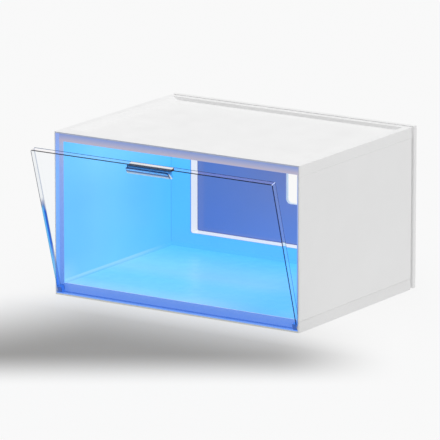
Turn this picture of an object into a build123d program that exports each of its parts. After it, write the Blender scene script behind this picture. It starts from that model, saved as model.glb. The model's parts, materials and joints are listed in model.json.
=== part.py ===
"""UV sterilizer cabinet: a white box with a lit chamber, a rear window and a drop-down clear door.

Millimetres. +X is the cabinet's right, +Y its back and +Z up. The origin is the centre of the base.
The door and the switch are modelled at rest: the door ajar, the switch on.
"""

from build123d import *
from math import cos, radians, sin, tan
import os

os.makedirs("parts", exist_ok=True)

# ---------------------------------------------------------------- driving dimensions
width = 360.0
height = 208.0
body_depth = 262.0
neck_depth = 5.0
cover_thickness = 7.0

skin = 2.2  # outer wall
liner = 2.2  # inner wall
cap_thickness = 13.6
pan_thickness = 14.0
side_thickness = 8.7
frame_setback = 8.0  # the door closes into this recess
recess_lip = 2.0  # lip of the cap and of the pan round the recess
chamber_depth = 250.0
corner_radius = 1.6
edge_radius = 0.6
parting_groove = 0.4

tray_depth = 4.0
tray_side_rim = 9.5
tray_front_rim = 20.0
tray_back_rim = 8.0
tray_slope = 9.0
tray_back_slope = 1.0

window_width = 285.4
window_sill = 19.1  # sill height above the floor
window_height = 140.5
window_radius = 2.5
surround_wall = 1.2
neck_inset = 6.0
neck_wall = 3.0

cutout_width = 64.0
cutout_height = 64.0
cutout_left = -9.3
cutout_bottom = 85.2
cutout_radius = 6.0

door_angle = 16.54  # how far the door stands open at rest
door_width = 352.8
door_thickness = 7.5
door_length = 198.3  # hinge axis to the top edge
hinge_height = 6.0
hinge_setback = 4.0
hinge_pin_radius = 1.5
running_clearance = 0.05

pull_width = 64.0
pull_height = 11.0
pull_reach = 8.0

rocker_tilt = 10.0

# ---------------------------------------------------------------- derived positions
depth = body_depth + neck_depth + cover_thickness
half_width = width / 2
front_y = -depth / 2
frame_y = front_y + frame_setback
body_back_y = front_y + body_depth
cover_front_y = body_back_y + neck_depth
cover_back_y = depth / 2
chamber_back_y = front_y + chamber_depth
ceiling_z = height - cap_thickness
floor_z = pan_thickness
chamber_half = half_width - side_thickness  # inner face of each side wall
cavity_half = half_width - skin  # inner face of each outer side wall
cavity_front_y = frame_y + skin
cavity_back_y = body_back_y - skin
side_gap_x = (chamber_half + liner + cavity_half) / 2  # middle of the gap inside a side wall

tray_z = height - tray_depth
tray_plate = 2.5
cap_cavity_z = tray_z - tray_plate
floor_liner_z = floor_z - 2.4
ceiling_liner_z = ceiling_z + 2.4
liner_fit = 0.2

window_bottom = floor_z + window_sill
window_mid_z = window_bottom + window_height / 2
cutout_mid_x = cutout_left + cutout_width / 2
cutout_mid_z = cutout_bottom + cutout_height / 2

hinge_y = front_y + hinge_setback
sides = (("left", -1), ("right", 1))


def slab(x_span, y_span, z_span, mode=Mode.ADD):
    """Add or cut a box given by its limits along X, Y and Z, in either order."""
    spans = (x_span, y_span, z_span)
    middle = tuple((low + high) / 2 for low, high in spans)
    with Locations(middle):
        Box(*(abs(high - low) for low, high in spans), mode=mode)


def rod(centre, radius, length, direction, mode=Mode.ADD):
    """Add or cut a round bar that starts at centre and runs along direction."""
    start = Plane(origin=centre, z_dir=direction)
    with Locations(start):
        Cylinder(radius, length, align=(Align.CENTER, Align.CENTER, Align.MIN), mode=mode)


def vertical_edges(part):
    """The upright edges at the four outer corners of a box-shaped part."""
    return part.edges().filter_by(Axis.Z)


def wall_plane(y):
    """Upright plane at y, looking at it from the front: local x is +X, local y is +Z."""
    return Plane(origin=(0, y, 0), x_dir=(1, 0, 0), z_dir=(0, -1, 0))


# ---------------------------------------------------------------- fastener places
cap_boss_spots = [(x, y) for x in (-165, 0, 165) for y in (-112, 108)]
base_boss_spots = [(x, y) for x in (-146, 0, 146) for y in (-98, 98)]
cover_screw_spots = [(x, z) for x in (-163, 163) for z in (22, 112, 186)]
boss_radius = 3.6
screw_radius = 1.5
head_radius = 2.8
head_height = 1.4
head_clearance = 0.2
screw_length = 8.0
boss_bore_depth = 6.2
base_screw_reach = 1.2  # how far the base screws pass through the floor liner

foot_spots = [(x, y) for x in (-162, 162) for y in (-118, 106)]
foot_radius = 9.0
foot_thickness = 1.2

# UV rows in the ceiling
uv_row_y = {"front": -70.0, "rear": 50.0}
lens_length = 300.0
lens_width = 20.0
lens_flange = 2.0
lens_flange_thickness = 0.8
uv_board_length = 320.0
uv_board_width = 16.0
uv_board_thickness = 1.4
uv_board_z = ceiling_liner_z + 2.2
uv_led_count = 12
uv_led_pitch = 25.0
uv_led_size = 3.5
uv_led_height = 1.1
uv_post_x = 156.0
uv_post_size = 6.0
small_screw_radius = 1.0
small_head_radius = 1.8
small_head_height = 0.9
uv_post_floor = 1.0  # solid left below the screw bore of a lamp post
lens_fit = 0.1

# driver board in the base
driver_x = (86.0, 166.0)
driver_y = (30.0, 90.0)
driver_z = 4.6
driver_thickness = 1.6
driver_top_z = driver_z + driver_thickness
driver_post_spots = [(x, y) for x in (90, 162) for y in (34, 78)]
driver_post_radius = 2.6
inductor_spot = (104.0, 62.0)
inductor_radius = 6.0
inductor_height = 4.6
capacitor_spots = [(124.0, 60.0), (124.0, 72.0)]
capacitor_radius = 4.0
capacitor_height = 4.8
controller_x = (106.0, 118.0)
controller_y = (38.0, 48.0)
controller_height = 1.6
transistor_x = (134.0, 141.0)
transistor_y = (50.0, 62.0)
transistor_height = 3.0
socket_half = 5.0
socket_length = 11.0
supply_socket_length = 8.0
socket_height = 4.6

cable_radius = 1.5
cable_z = 8.4
link_cable_radius = 1.0
link_cable_x = 140.0
lamp_cable_bend = 4.5
supply_cable_bend = 6.0
harness_y = uv_row_y["rear"]
inlet_cable_y = (chamber_back_y + liner + cavity_back_y) / 2
notch_half = 3.0
notch_inner_x = side_gap_x - 2.2

# rear switch and power inlet
service_x = 160.0
switch_z = 60.0
inlet_z = 88.0
switch_body_x = 6.4
switch_body_z = 10.0
switch_well_x = 5.2
switch_well_z = 8.6
switch_bezel = 1.6
switch_bezel_height = 1.8
switch_depth = 17.0
switch_gap = 0.6
rocker_pivot_y = cover_back_y - 2.2
rocker_axle_radius = 1.0
rocker_axle_inset = 0.4
rocker_well_depth = 4.2  # below the axle
rocker_half_x = 4.9
rocker_half_z = 7.4
inlet_radius = 5.5
inlet_flange_radius = 7.0
inlet_flange_height = 1.5
inlet_bore_radius = 2.8
inlet_bore_depth = 10.0
inlet_pin_radius = 1.0
inlet_pin_length = 8.5
inlet_depth = 14.0

# ---------------------------------------------------------------- top cap
with BuildPart() as top_cap:
    slab((-half_width, half_width), (front_y, body_back_y), (ceiling_z, height))
    fillet(vertical_edges(top_cap), corner_radius)
    fillet(top_cap.faces().sort_by(Axis.Z)[-1].edges(), edge_radius)
    # shallow tray: gentle slopes at the front and the sides, a steep step at the back
    tray_front_y = front_y + tray_front_rim
    tray_back_y = body_back_y - tray_back_rim
    tray_half = half_width - tray_side_rim
    with BuildSketch(Plane.XY.offset(height)):
        with Locations((0, (tray_front_y + tray_back_y) / 2)):
            Rectangle(2 * tray_half, tray_back_y - tray_front_y)
    with BuildSketch(Plane.XY.offset(tray_z)):
        floor_front_y = tray_front_y + tray_slope
        floor_back_y = tray_back_y - tray_back_slope
        with Locations((0, (floor_front_y + floor_back_y) / 2)):
            Rectangle(2 * (tray_half - tray_slope), floor_back_y - floor_front_y)
    loft(mode=Mode.SUBTRACT)
    # recess that the door closes into
    slab(
        (-cavity_half, cavity_half),
        (front_y, frame_y),
        (ceiling_z, height - recess_lip),
        Mode.SUBTRACT,
    )
    # cavity for the lamp boards
    slab(
        (-cavity_half, cavity_half),
        (cavity_front_y, cavity_back_y),
        (ceiling_z, cap_cavity_z),
        Mode.SUBTRACT,
    )
    for x, y in cap_boss_spots:
        rod((x, y, ceiling_liner_z), boss_radius, cap_cavity_z - ceiling_liner_z, (0, 0, 1))
        rod((x, y, ceiling_liner_z), screw_radius, boss_bore_depth, (0, 0, 1), Mode.SUBTRACT)
top_cap.part.label = "top_cap"
export_step(top_cap.part, "parts/top_cap.step")

# ---------------------------------------------------------------- ceiling liner
with BuildPart() as ceiling_liner:
    slab(
        (-cavity_half + liner_fit, cavity_half - liner_fit),
        (cavity_front_y + liner_fit, cavity_back_y - liner_fit),
        (ceiling_z, ceiling_liner_z),
    )
    for row_y in uv_row_y.values():
        slab(
            (-lens_length / 2, lens_length / 2),
            (row_y - lens_width / 2, row_y + lens_width / 2),
            (ceiling_z, ceiling_liner_z),
            Mode.SUBTRACT,
        )
        for post_x in (-uv_post_x, uv_post_x):
            with Locations((post_x, row_y, (ceiling_liner_z + uv_board_z) / 2)):
                Box(uv_post_size, uv_post_size, uv_board_z - ceiling_liner_z)
            rod(
                (post_x, row_y, ceiling_z + uv_post_floor),
                small_screw_radius,
                uv_board_z - ceiling_z - uv_post_floor,
                (0, 0, 1),
                Mode.SUBTRACT,
            )
    for x, y in cap_boss_spots:
        rod((x, y, ceiling_z), screw_radius, ceiling_liner_z - ceiling_z, (0, 0, 1), Mode.SUBTRACT)
    # notch for the cable that rises inside the right wall
    slab(
        (notch_inner_x, half_width),
        (harness_y - notch_half, harness_y + notch_half),
        (ceiling_z, ceiling_liner_z),
        Mode.SUBTRACT,
    )
ceiling_liner.part.label = "ceiling_liner"
export_step(ceiling_liner.part, "parts/ceiling_liner.step")

# ---------------------------------------------------------------- bottom pan
hinge_plate_thickness = 1.0
hinge_plate_z = (2.4, 11.2)
hinge_plate_x = (cavity_half - hinge_plate_thickness, cavity_half)
hinge_boss_x = (168.0, hinge_plate_x[0])
hinge_boss_y = (-124.0, -111.0)
hinge_screw_y = (-120.5, -114.5)
hinge_screw_z = 6.8
hinge_screw_radius = 1.25
hinge_slot_gap = 0.1
pan_rib_x = 60.0
pan_rib_thickness = 2.0

with BuildPart() as bottom_pan:
    slab((-half_width, half_width), (front_y, body_back_y), (0, floor_z))
    fillet(vertical_edges(bottom_pan), corner_radius)
    slab((-cavity_half, cavity_half), (front_y, frame_y), (recess_lip, floor_z), Mode.SUBTRACT)
    slab(
        (-cavity_half, cavity_half),
        (cavity_front_y, cavity_back_y),
        (skin, floor_z),
        Mode.SUBTRACT,
    )
    for rib_x in (-pan_rib_x, pan_rib_x):
        slab(
            (rib_x - pan_rib_thickness / 2, rib_x + pan_rib_thickness / 2),
            (cavity_front_y, cavity_back_y),
            (skin, floor_liner_z),
        )
    for x, y in base_boss_spots:
        rod((x, y, skin), boss_radius, floor_liner_z - skin, (0, 0, 1))
        rod((x, y, 0), screw_radius, floor_liner_z, (0, 0, 1), Mode.SUBTRACT)
        rod((x, y, 0), head_radius, head_height + head_clearance, (0, 0, 1), Mode.SUBTRACT)
    for x, y in foot_spots:
        rod((x, y, 0), foot_radius, foot_thickness, (0, 0, 1), Mode.SUBTRACT)
    for x, y in driver_post_spots:
        rod((x, y, skin), driver_post_radius, driver_z - skin, (0, 0, 1))
        rod((x, y, skin), small_screw_radius, driver_z - skin, (0, 0, 1), Mode.SUBTRACT)
    for side in (-1, 1):
        slab(
            (side * hinge_boss_x[0], side * hinge_boss_x[1]),
            hinge_boss_y,
            (skin, floor_liner_z),
        )
        # slot in the front wall for the hinge plate
        slab(
            (side * (hinge_plate_x[0] - hinge_slot_gap), side * cavity_half),
            (frame_y, cavity_front_y),
            (recess_lip, hinge_plate_z[1] + hinge_slot_gap),
            Mode.SUBTRACT,
        )
        for y in hinge_screw_y:
            rod(
                (side * hinge_boss_x[0], y, hinge_screw_z),
                hinge_screw_radius,
                hinge_boss_x[1] - hinge_boss_x[0],
                (side, 0, 0),
                Mode.SUBTRACT,
            )
bottom_pan.part.label = "bottom_pan"
export_step(bottom_pan.part, "parts/bottom_pan.step")

# ---------------------------------------------------------------- floor liner
cove_height = 4.3
cove_width = 2.6
base_bore_depth = 1.6
with BuildPart() as floor_liner:
    slab(
        (-cavity_half + liner_fit, cavity_half - liner_fit),
        (cavity_front_y + liner_fit, cavity_back_y - liner_fit),
        (floor_liner_z, floor_z),
    )
    # coved strips where the floor meets the side walls and the back wall
    with BuildSketch(Plane.XZ.offset(-chamber_back_y)):
        for side in (-1, 1):
            with BuildLine():
                Polyline(
                    (side * chamber_half, floor_z),
                    (side * (chamber_half - cove_width), floor_z),
                    (side * chamber_half, floor_z + cove_height),
                    close=True,
                )
            make_face()
    extrude(amount=chamber_back_y - cavity_front_y - liner_fit)
    with BuildSketch(Plane.YZ.offset(-chamber_half)):
        with BuildLine():
            Polyline(
                (chamber_back_y, floor_z),
                (chamber_back_y - cove_width, floor_z),
                (chamber_back_y, floor_z + cove_height),
                close=True,
            )
        make_face()
    extrude(amount=2 * chamber_half)
    for x, y in base_boss_spots:
        rod((x, y, floor_liner_z), screw_radius, base_bore_depth, (0, 0, 1), Mode.SUBTRACT)
    # notches for the cables
    slab(
        (notch_inner_x, half_width),
        (harness_y - notch_half, harness_y + notch_half),
        (floor_liner_z, floor_z),
        Mode.SUBTRACT,
    )
    slab(
        (service_x - notch_half, service_x + notch_half),
        (inlet_cable_y - notch_half, body_back_y),
        (floor_liner_z, floor_z),
        Mode.SUBTRACT,
    )
floor_liner.part.label = "floor_liner"
export_step(floor_liner.part, "parts/floor_liner.step")

# ---------------------------------------------------------------- side walls
liner_rib_y = (-90.0, -20.0, 30.0, 90.0)
liner_rib_thickness = 2.0
for name, side in sides:
    with BuildPart() as side_panel:
        slab((side * cavity_half, side * half_width), (front_y, body_back_y), (floor_z, ceiling_z))
        outer_face = side_panel.faces().sort_by(Axis.X)[0 if side < 0 else -1]
        fillet(outer_face.edges().filter_by(Axis.Z), corner_radius)
        # a fine groove shows where the side meets the cap and the pan
        outer_face = side_panel.faces().sort_by(Axis.X)[0 if side < 0 else -1]
        chamfer(outer_face.edges().filter_by(Axis.Y), parting_groove)
    side_panel.part.label = f"side_panel_{name}"
    export_step(side_panel.part, f"parts/side_panel_{name}.step")

    with BuildPart() as side_liner:
        inner_x = side * chamber_half
        slab((inner_x, inner_x + side * liner), (frame_y, chamber_back_y), (floor_z, ceiling_z))
        slab((inner_x, side * cavity_half), (frame_y, cavity_front_y), (floor_z, ceiling_z))
        for rib_y in liner_rib_y:
            rib_front_y = rib_y - liner_rib_thickness / 2
            slab(
                (inner_x, side * cavity_half),
                (rib_front_y, rib_front_y + liner_rib_thickness),
                (floor_z, ceiling_z),
            )
    side_liner.part.label = f"side_liner_{name}"
    export_step(side_liner.part, f"parts/side_liner_{name}.step")

# ---------------------------------------------------------------- back wall with its window
with BuildPart() as back_liner:
    with BuildSketch(wall_plane(chamber_back_y)):
        with Locations((0, (floor_z + ceiling_z) / 2)):
            Rectangle(2 * cavity_half, ceiling_z - floor_z)
        with Locations((0, window_mid_z)):
            RectangleRounded(window_width, window_height, window_radius, mode=Mode.SUBTRACT)
    extrude(amount=-liner)
back_liner.part.label = "back_liner"
export_step(back_liner.part, "parts/back_liner.step")

surround_flange = 5.0
surround_flange_thickness = 1.6
surround_front_y = chamber_back_y + liner
with BuildPart() as window_surround:
    with BuildSketch(wall_plane(surround_front_y)):
        with Locations((0, window_mid_z)):
            RectangleRounded(
                window_width + 2 * surround_wall,
                window_height + 2 * surround_wall,
                window_radius + surround_wall,
            )
    extrude(amount=surround_front_y - cover_front_y)
    with BuildSketch(wall_plane(surround_front_y)):
        with Locations((0, window_mid_z)):
            RectangleRounded(
                window_width + 2 * surround_flange,
                window_height + 2 * surround_flange,
                window_radius + surround_flange,
            )
    extrude(amount=-surround_flange_thickness)
    with BuildSketch(wall_plane(surround_front_y)):
        with Locations((0, window_mid_z)):
            RectangleRounded(window_width, window_height, window_radius)
    extrude(amount=surround_front_y - cover_front_y, mode=Mode.SUBTRACT)
window_surround.part.label = "window_surround"
export_step(window_surround.part, "parts/window_surround.step")

# rear frame: the outer back wall and the narrow neck behind it, in one piece
surround_gap = 0.15
cover_boss_radius = 4.4
inlet_gap = 0.6
with BuildPart() as rear_frame:
    with BuildSketch(wall_plane(cavity_back_y)):
        with Locations((0, (floor_z + ceiling_z) / 2)):
            Rectangle(2 * cavity_half, ceiling_z - floor_z)
    extrude(amount=-skin)
    with BuildSketch(wall_plane(body_back_y)):
        with Locations((0, height / 2)):
            Rectangle(width - 2 * neck_inset, height - 2 * neck_inset)
            Rectangle(
                width - 2 * neck_inset - 2 * neck_wall,
                height - 2 * neck_inset - 2 * neck_wall,
                mode=Mode.SUBTRACT,
            )
        with Locations(*cover_screw_spots):
            Circle(cover_boss_radius)
    extrude(amount=-neck_depth)
    with BuildSketch(wall_plane(cavity_back_y)):
        with Locations((0, window_mid_z)):
            RectangleRounded(
                window_width + 2 * surround_wall + 2 * surround_gap,
                window_height + 2 * surround_wall + 2 * surround_gap,
                window_radius + surround_wall,
            )
        with Locations((service_x, switch_z)):
            Rectangle(2 * (switch_body_x + switch_gap), 2 * (switch_body_z + switch_gap))
        with Locations((service_x, inlet_z)):
            Circle(inlet_radius + inlet_gap)
        with Locations(*cover_screw_spots):
            Circle(screw_radius)
    extrude(amount=-skin - neck_depth, mode=Mode.SUBTRACT)
rear_frame.part.label = "rear_frame"
export_step(rear_frame.part, "parts/rear_frame.step")

# ---------------------------------------------------------------- rear cover and its dark screen
screen_thickness = 2.0
screen_margin = 8.0
screen_fit = 0.1
head_recess = 0.4  # cover screw heads sit this far below the surface
with BuildPart() as rear_cover:
    slab((-half_width, half_width), (cover_front_y, cover_back_y), (0, height))
    fillet(vertical_edges(rear_cover), corner_radius)
    fillet(rear_cover.faces().sort_by(Axis.Y)[-1].edges(), edge_radius)
    with BuildSketch(wall_plane(cover_front_y)):
        with Locations((0, window_mid_z)):
            RectangleRounded(
                window_width + 2 * screen_margin,
                window_height + 2 * screen_margin,
                window_radius,
            )
    extrude(amount=-screen_thickness, mode=Mode.SUBTRACT)
    with BuildSketch(wall_plane(cover_front_y)):
        with Locations((cutout_mid_x, cutout_mid_z)):
            RectangleRounded(cutout_width, cutout_height, cutout_radius)
        with Locations((service_x, switch_z)):
            Rectangle(2 * switch_body_x, 2 * switch_body_z)
        with Locations((service_x, inlet_z)):
            Circle(inlet_radius)
        with Locations(*cover_screw_spots):
            Circle(screw_radius)
    extrude(amount=-cover_thickness, mode=Mode.SUBTRACT)
    # countersunk places for the cover screws
    for x, z in cover_screw_spots:
        rod(
            (x, cover_back_y, z),
            head_radius + head_clearance,
            head_height + head_recess,
            (0, -1, 0),
            Mode.SUBTRACT,
        )
rear_cover.part.label = "rear_cover"
export_step(rear_cover.part, "parts/rear_cover.step")

with BuildPart() as rear_screen:
    with BuildSketch(wall_plane(cover_front_y)):
        with Locations((0, window_mid_z)):
            RectangleRounded(
                window_width + 2 * (screen_margin - screen_fit),
                window_height + 2 * (screen_margin - screen_fit),
                window_radius,
            )
        with Locations((cutout_mid_x, cutout_mid_z)):
            RectangleRounded(cutout_width, cutout_height, cutout_radius, mode=Mode.SUBTRACT)
    extrude(amount=-screen_thickness)
rear_screen.part.label = "rear_screen"
export_step(rear_screen.part, "parts/rear_screen.step")

# ---------------------------------------------------------------- UV rows: lenses, boards and LEDs
for name, row_y in uv_row_y.items():
    with BuildPart() as uv_lens:
        slab(
            (-lens_length / 2 + lens_fit, lens_length / 2 - lens_fit),
            (row_y - lens_width / 2 + lens_fit, row_y + lens_width / 2 - lens_fit),
            (ceiling_z, ceiling_liner_z),
        )
        slab(
            (-lens_length / 2 - lens_flange, lens_length / 2 + lens_flange),
            (row_y - lens_width / 2 - lens_flange, row_y + lens_width / 2 + lens_flange),
            (ceiling_liner_z, ceiling_liner_z + lens_flange_thickness),
        )
    uv_lens.part.label = f"uv_lens_{name}"
    export_step(uv_lens.part, f"parts/uv_lens_{name}.step")

    with BuildPart() as uv_board:
        slab(
            (-uv_board_length / 2, uv_board_length / 2),
            (row_y - uv_board_width / 2, row_y + uv_board_width / 2),
            (uv_board_z, uv_board_z + uv_board_thickness),
        )
        for post_x in (-uv_post_x, uv_post_x):
            rod(
                (post_x, row_y, uv_board_z),
                small_screw_radius,
                uv_board_thickness,
                (0, 0, 1),
                Mode.SUBTRACT,
            )
    uv_board.part.label = f"uv_board_{name}"
    export_step(uv_board.part, f"parts/uv_board_{name}.step")

    with BuildPart() as uv_leds:
        with Locations((0, row_y, uv_board_z - uv_led_height / 2)):
            with GridLocations(uv_led_pitch, 1, uv_led_count, 1):
                Box(uv_led_size, uv_led_size, uv_led_height)
    uv_leds.part.label = f"uv_leds_{name}"
    export_step(uv_leds.part, f"parts/uv_leds_{name}.step")

uv_board_top_z = uv_board_z + uv_board_thickness
uv_screw_tip_z = ceiling_z + uv_post_floor + head_clearance
driver_screw_tip_z = skin + head_clearance
with BuildPart() as board_screws:
    for row_y in uv_row_y.values():
        for post_x in (-uv_post_x, uv_post_x):
            rod(
                (post_x, row_y, uv_screw_tip_z),
                small_screw_radius,
                uv_board_top_z - uv_screw_tip_z,
                (0, 0, 1),
            )
            rod((post_x, row_y, uv_board_top_z), small_head_radius, small_head_height, (0, 0, 1))
    for x, y in driver_post_spots:
        rod(
            (x, y, driver_screw_tip_z),
            small_screw_radius,
            driver_top_z - driver_screw_tip_z,
            (0, 0, 1),
        )
        rod((x, y, driver_top_z), small_head_radius, small_head_height, (0, 0, 1))
board_screws.part.label = "board_screws"
export_step(board_screws.part, "parts/board_screws.step")

# ---------------------------------------------------------------- driver board in the base
with BuildPart() as driver_board:
    slab(driver_x, driver_y, (driver_z, driver_top_z))
    for x, y in driver_post_spots:
        rod((x, y, driver_z), small_screw_radius, driver_thickness, (0, 0, 1), Mode.SUBTRACT)
driver_board.part.label = "driver_board"
export_step(driver_board.part, "parts/driver_board.step")

with BuildPart() as driver_components:
    rod((*inductor_spot, driver_top_z), inductor_radius, inductor_height, (0, 0, 1))
    for x, y in capacitor_spots:
        rod((x, y, driver_top_z), capacitor_radius, capacitor_height, (0, 0, 1))
    slab(controller_x, controller_y, (driver_top_z, driver_top_z + controller_height))
    slab(transistor_x, transistor_y, (driver_top_z, driver_top_z + transistor_height))
    # lamp socket at the right edge and supply socket at the back edge
    slab(
        (driver_x[1] - socket_length, driver_x[1]),
        (harness_y - socket_half, harness_y + socket_half),
        (driver_top_z, driver_top_z + socket_height),
    )
    slab(
        (service_x - socket_half, service_x + socket_half),
        (driver_y[1] - supply_socket_length, driver_y[1]),
        (driver_top_z, driver_top_z + socket_height),
    )
driver_components.part.label = "driver_components"
export_step(driver_components.part, "parts/driver_components.step")

# ---------------------------------------------------------------- internal wiring
riser_end_x = uv_board_length / 2
riser_z = uv_board_z + 0.4
with BuildPart() as lamp_cable:
    with BuildLine():
        FilletPolyline(
            (driver_x[1], harness_y, cable_z),
            (side_gap_x, harness_y, cable_z),
            (side_gap_x, harness_y, riser_z),
            (riser_end_x, harness_y, riser_z),
            radius=lamp_cable_bend,
        )
    with BuildSketch(Plane(origin=(driver_x[1], harness_y, cable_z), z_dir=(1, 0, 0))):
        Circle(cable_radius)
    sweep()
lamp_cable.part.label = "lamp_cable"
export_step(lamp_cable.part, "parts/lamp_cable.step")

with BuildPart() as row_link_cable:
    front_edge = uv_row_y["front"] + uv_board_width / 2
    rear_edge = uv_row_y["rear"] - uv_board_width / 2
    rod((link_cable_x, front_edge, riser_z), link_cable_radius, rear_edge - front_edge, (0, 1, 0))
row_link_cable.part.label = "row_link_cable"
export_step(row_link_cable.part, "parts/row_link_cable.step")

supply_cable_top_z = switch_z - switch_body_z - 1.0
with BuildPart() as supply_cable:
    with BuildLine():
        FilletPolyline(
            (service_x, inlet_cable_y, supply_cable_top_z),
            (service_x, inlet_cable_y, cable_z),
            (service_x, driver_y[1], cable_z),
            radius=supply_cable_bend,
        )
    with BuildSketch(Plane(origin=(service_x, inlet_cable_y, supply_cable_top_z), z_dir=(0, 0, -1))):
        Circle(cable_radius)
    sweep()
supply_cable.part.label = "supply_cable"
export_step(supply_cable.part, "parts/supply_cable.step")

# ---------------------------------------------------------------- rear switch
switch_back_y = cover_back_y - switch_depth
bezel_y = cover_back_y + switch_bezel_height
well_floor_y = rocker_pivot_y - rocker_well_depth
terminal_length = 3.6
terminal_half_width = 2.4
terminal_half_thickness = 0.4
terminal_spacing = 10.0
axle_length = 2 * (switch_body_x - rocker_axle_inset)
with BuildPart() as switch_body:
    slab(
        (service_x - switch_body_x, service_x + switch_body_x),
        (switch_back_y, cover_back_y),
        (switch_z - switch_body_z, switch_z + switch_body_z),
    )
    slab(
        (service_x - switch_body_x - switch_bezel, service_x + switch_body_x + switch_bezel),
        (cover_back_y, bezel_y),
        (switch_z - switch_body_z - switch_bezel, switch_z + switch_body_z + switch_bezel),
    )
    slab(
        (service_x - switch_well_x, service_x + switch_well_x),
        (well_floor_y, bezel_y),
        (switch_z - switch_well_z, switch_z + switch_well_z),
        Mode.SUBTRACT,
    )
    # bearing holes for the rocker's stub axles
    rod(
        (service_x - axle_length / 2, rocker_pivot_y, switch_z),
        rocker_axle_radius + running_clearance,
        axle_length,
        (1, 0, 0),
        Mode.SUBTRACT,
    )
switch_body.part.label = "switch_body"
export_step(switch_body.part, "parts/switch_body.step")

with BuildPart() as switch_terminals:
    for side in (-1, 1):
        terminal_z = switch_z + side * terminal_spacing / 2
        slab(
            (service_x - terminal_half_width, service_x + terminal_half_width),
            (switch_back_y - terminal_length, switch_back_y),
            (terminal_z - terminal_half_thickness, terminal_z + terminal_half_thickness),
        )
switch_terminals.part.label = "switch_terminals"
export_step(switch_terminals.part, "parts/switch_terminals.step")

# rocker, seen along its axle: local x is outwards (+Y) and local y is up, turned to its "on" tilt
rocker_plane = Plane(
    origin=(service_x, rocker_pivot_y, switch_z),
    x_dir=(0, cos(radians(rocker_tilt)), sin(radians(rocker_tilt))),
    z_dir=(1, 0, 0),
)
rocker_rise = rocker_half_z * tan(radians(rocker_tilt))
rocker_middle = bezel_y - rocker_pivot_y - rocker_rise - 0.2
rocker_end = rocker_middle + rocker_rise
rocker_toe = rocker_half_z - 0.4
rocker_heel = 2.0
rocker_underside = -2.2
with BuildPart() as power_rocker:
    with BuildSketch(rocker_plane):
        with BuildLine():
            Polyline(
                (rocker_middle, 0),
                (rocker_end, rocker_half_z),
                (0, rocker_toe),
                (rocker_underside, rocker_heel),
                (rocker_underside, -rocker_heel),
                (0, -rocker_toe),
                (rocker_end, -rocker_half_z),
                close=True,
            )
        make_face()
    extrude(amount=rocker_half_x, both=True)
    rod(
        (service_x - axle_length / 2 + running_clearance, rocker_pivot_y, switch_z),
        rocker_axle_radius,
        axle_length - 2 * running_clearance,
        (1, 0, 0),
    )
power_rocker.part.label = "power_rocker"
export_step(power_rocker.part, "parts/power_rocker.step")

# ---------------------------------------------------------------- power inlet
inlet_plane_y = cover_back_y + inlet_flange_height
with BuildPart() as power_inlet:
    rod((service_x, cover_back_y - inlet_depth, inlet_z), inlet_radius, inlet_depth, (0, 1, 0))
    rod((service_x, cover_back_y, inlet_z), inlet_flange_radius, inlet_flange_height, (0, 1, 0))
    rod(
        (service_x, inlet_plane_y, inlet_z),
        inlet_bore_radius,
        inlet_bore_depth,
        (0, -1, 0),
        Mode.SUBTRACT,
    )
    rod(
        (service_x, inlet_plane_y - inlet_bore_depth, inlet_z),
        inlet_pin_radius,
        inlet_pin_length,
        (0, 1, 0),
    )
power_inlet.part.label = "power_inlet"
export_step(power_inlet.part, "parts/power_inlet.step")

inlet_nut_thickness = 2.4
inlet_nut_radius = inlet_radius + 2.4
with BuildPart() as inlet_nut:
    with BuildSketch(wall_plane(cover_front_y - inlet_nut_thickness)):
        with Locations((service_x, inlet_z)):
            RegularPolygon(inlet_nut_radius, 6)
            Circle(inlet_radius, mode=Mode.SUBTRACT)
    extrude(amount=-inlet_nut_thickness)
inlet_nut.part.label = "inlet_nut"
export_step(inlet_nut.part, "parts/inlet_nut.step")

# ---------------------------------------------------------------- door hinge hardware on the cabinet
hinge_plate_reach = 0.8  # the plate stops this far behind the cabinet front
hinge_plate_round = 2.5
washer_radius = 3.2
washer_thickness = 0.75
hinge_head_radius = 2.3
hinge_head_height = 1.6
pin_inner_x = 171.0
door_half = door_width / 2
block_outer_x = door_half - 0.5
washer_x = block_outer_x + running_clearance
for name, side in sides:
    with BuildPart() as hinge_plate:
        slab(
            (side * hinge_plate_x[0], side * hinge_plate_x[1]),
            (front_y + hinge_plate_reach, hinge_boss_y[1]),
            hinge_plate_z,
        )
        fillet(hinge_plate.edges().filter_by(Axis.X).sort_by(Axis.Y)[:2], hinge_plate_round)
        rod(
            (side * hinge_plate_x[0], hinge_y, hinge_height),
            hinge_pin_radius,
            hinge_plate_thickness,
            (side, 0, 0),
            Mode.SUBTRACT,
        )
        for y in hinge_screw_y:
            rod(
                (side * hinge_plate_x[0], y, hinge_screw_z),
                hinge_screw_radius,
                hinge_plate_thickness,
                (side, 0, 0),
                Mode.SUBTRACT,
            )
    hinge_plate.part.label = f"hinge_plate_{name}"
    export_step(hinge_plate.part, f"parts/hinge_plate_{name}.step")

    with BuildPart() as hinge_pin:
        rod(
            (side * pin_inner_x, hinge_y, hinge_height),
            hinge_pin_radius,
            cavity_half - pin_inner_x,
            (side, 0, 0),
        )
    hinge_pin.part.label = f"hinge_pin_{name}"
    export_step(hinge_pin.part, f"parts/hinge_pin_{name}.step")

with BuildPart() as hinge_washers:
    for side in (-1, 1):
        washer_centre = (side * washer_x, hinge_y, hinge_height)
        rod(washer_centre, washer_radius, washer_thickness, (side, 0, 0))
        rod(washer_centre, hinge_pin_radius, washer_thickness, (side, 0, 0), Mode.SUBTRACT)
hinge_washers.part.label = "hinge_washers"
export_step(hinge_washers.part, "parts/hinge_washers.step")

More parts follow.
